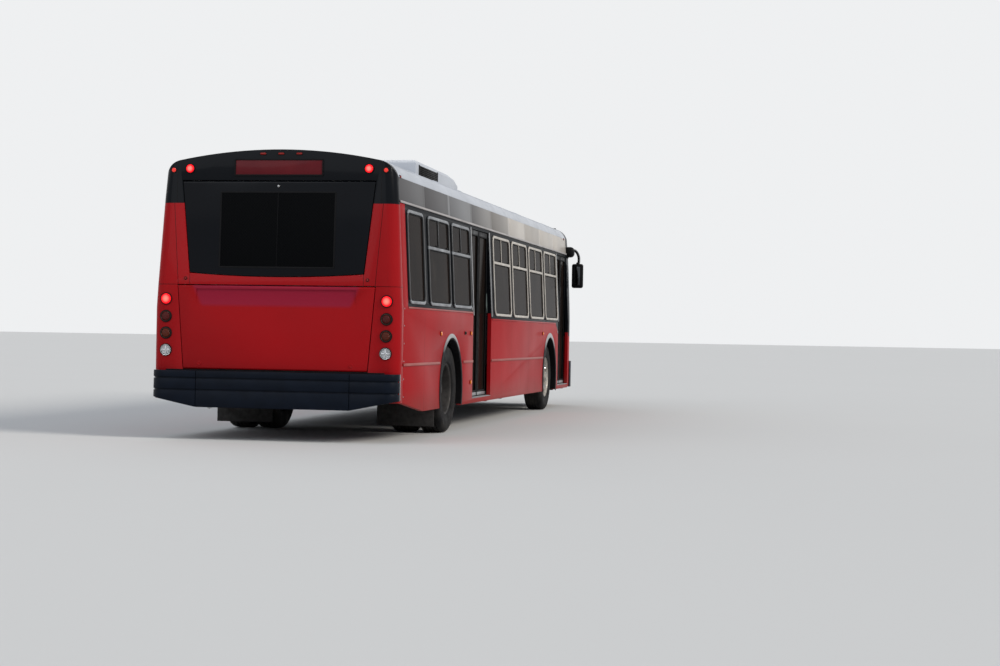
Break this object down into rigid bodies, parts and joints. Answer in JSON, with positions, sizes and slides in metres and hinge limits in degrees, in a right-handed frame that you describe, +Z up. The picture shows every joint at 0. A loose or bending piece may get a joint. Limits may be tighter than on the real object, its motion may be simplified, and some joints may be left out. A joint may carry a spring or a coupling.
{
  "type": "city bus",
  "caption": "Low-floor single-deck city bus with a red body, black engine doors, folding passenger doors, steered front wheels and twin rear wheels.",
  "frame": {"origin": "on the road, in the middle of the bus under its centre line", "axes": "+X to the bus's left, away from its passenger doors; -Y towards the front, +Y towards the rear; +Z up"},
  "size_m": [2.97, 12.2, 3.09],
  "materials": {
    "aluminium_trim": "satin",
    "amber_lens": "gloss",
    "black_trim": "gloss",
    "bumper_plastic": "satin",
    "chassis_iron": "matte",
    "clear_lens": "gloss",
    "dark_lens": "gloss",
    "floor_covering": "matte",
    "rail_steel": "satin",
    "red_lens": "gloss",
    "red_paint": "gloss",
    "seat_fabric": "matte",
    "sign_glass": "gloss",
    "tinted_glass": "gloss",
    "tyre_rubber": "matte",
    "wheel_steel": "satin",
    "white_paint": "satin"
  },
  "bodies": {
    "bus_body": {"amber_markers": "amber_lens", "bulkhead": "black_trim", "clear_lamps": "clear_lens", "cove_panels": "aluminium_trim", "dark_lamps": "dark_lens", "dashboard": "black_trim", "driver_seat": "seat_fabric", "engine": "chassis_iron", "floor": "floor_covering", "front_axle": "chassis_iron", "front_bumper": "bumper_plastic", "front_mask": "red_paint", "handrails": "rail_steel", "headlamps": "clear_lens", "left_side": "red_paint", "mirrors": "black_trim", "passenger_seats": "seat_fabric", "rear_axle": "chassis_iron", "rear_bumper": "bumper_plastic", "rear_cap": "red_paint", "red_lamps": "red_lens", "right_side": "red_paint", "roof": "white_paint", "roof_unit": "white_paint", "side_glass": "tinted_glass", "side_rails": "aluminium_trim", "signs": "sign_glass", "underframe": "chassis_iron", "wheelhouses": "floor_covering", "window_frames": "aluminium_trim", "windscreen": "tinted_glass"},
    "right_steering_knuckle": {"right_knuckle": "chassis_iron"},
    "front_right_wheel": {"front_right_rim": "wheel_steel", "front_right_tyre": "tyre_rubber"},
    "rear_right_wheel": {"rear_right_rim": "wheel_steel", "rear_right_tyre": "tyre_rubber"},
    "left_steering_knuckle": {"left_knuckle": "chassis_iron"},
    "front_left_wheel": {"front_left_rim": "wheel_steel", "front_left_tyre": "tyre_rubber"},
    "rear_left_wheel": {"rear_left_rim": "wheel_steel", "rear_left_tyre": "tyre_rubber"},
    "rear_door_aft_leaf": {"rear_door_aft": "black_trim", "rear_door_aft_glass": "tinted_glass"},
    "rear_door_fore_leaf": {"rear_door_fore": "black_trim", "rear_door_fore_glass": "tinted_glass"},
    "front_door_aft_leaf": {"front_door_aft": "black_trim", "front_door_aft_glass": "tinted_glass"},
    "front_door_fore_leaf": {"front_door_fore": "black_trim", "front_door_fore_glass": "tinted_glass"},
    "engine_hatch_panel": {"engine_hatch": "red_paint"},
    "upper_rear_panel": {"upper_rear_door": "black_trim"},
    "rear_roof_hatch_lid": {"rear_roof_hatch": "white_paint"},
    "front_roof_hatch_lid": {"front_roof_hatch": "white_paint"}
  },
  "joints": [
    {"name": "right_steering", "type": "hinge", "parent": "bus_body", "child": "right_steering_knuckle", "pos_m": [-1.005, -3.74, 0.495], "axis": [0, 0, 1], "range_deg": [-42, 42]},
    {"name": "front_right_roll", "type": "hinge", "parent": "right_steering_knuckle", "child": "front_right_wheel", "pos_m": [-1.107, -3.74, 0.495], "axis": [1, 0, 0], "continuous": true},
    {"name": "rear_right_roll", "type": "hinge", "parent": "bus_body", "child": "rear_right_wheel", "pos_m": [-0.957, 3.48, 0.495], "axis": [1, 0, 0], "continuous": true},
    {"name": "left_steering", "type": "hinge", "parent": "bus_body", "child": "left_steering_knuckle", "pos_m": [1.005, -3.74, 0.495], "axis": [0, 0, 1], "range_deg": [-42, 42]},
    {"name": "front_left_roll", "type": "hinge", "parent": "left_steering_knuckle", "child": "front_left_wheel", "pos_m": [1.107, -3.74, 0.495], "axis": [1, 0, 0], "continuous": true},
    {"name": "rear_left_roll", "type": "hinge", "parent": "bus_body", "child": "rear_left_wheel", "pos_m": [0.957, 3.48, 0.495], "axis": [1, 0, 0], "continuous": true},
    {"name": "rear_door_aft_hinge", "type": "hinge", "parent": "bus_body", "child": "rear_door_aft_leaf", "pos_m": [-1.21, 2.214, 1.378], "axis": [0, 0, -1], "range_deg": [0, 90]},
    {"name": "rear_door_fore_hinge", "type": "hinge", "parent": "bus_body", "child": "rear_door_fore_leaf", "pos_m": [-1.21, 1.096, 1.378], "axis": [0, 0, 1], "range_deg": [0, 90]},
    {"name": "front_door_aft_hinge", "type": "hinge", "parent": "bus_body", "child": "front_door_aft_leaf", "pos_m": [-1.21, -4.586, 1.378], "axis": [0, 0, -1], "range_deg": [0, 90]},
    {"name": "front_door_fore_hinge", "type": "hinge", "parent": "bus_body", "child": "front_door_fore_leaf", "pos_m": [-1.21, -5.604, 1.378], "axis": [0, 0, 1], "range_deg": [0, 90]},
    {"name": "engine_hatch_hinge", "type": "hinge", "parent": "bus_body", "child": "engine_hatch_panel", "pos_m": [0, 6.002, 1.554], "axis": [1, 0, 0], "range_deg": [0, 85]},
    {"name": "upper_rear_hinge", "type": "hinge", "parent": "bus_body", "child": "upper_rear_panel", "pos_m": [0, 5.9591, 2.6173], "axis": [1, 0, 0], "range_deg": [0, 80]},
    {"name": "rear_roof_hatch_hinge", "type": "hinge", "parent": "bus_body", "child": "rear_roof_hatch_lid", "pos_m": [0, -1.234, 2.996], "axis": [-1, 0, 0], "range_deg": [0, 60]},
    {"name": "front_roof_hatch_hinge", "type": "hinge", "parent": "bus_body", "child": "front_roof_hatch_lid", "pos_m": [0, -3.734, 2.996], "axis": [-1, 0, 0], "range_deg": [0, 60]}
  ],
  "couplings": [
    {"joint": "right_steering", "follows": "left_steering", "ratio": 1}
  ]
}
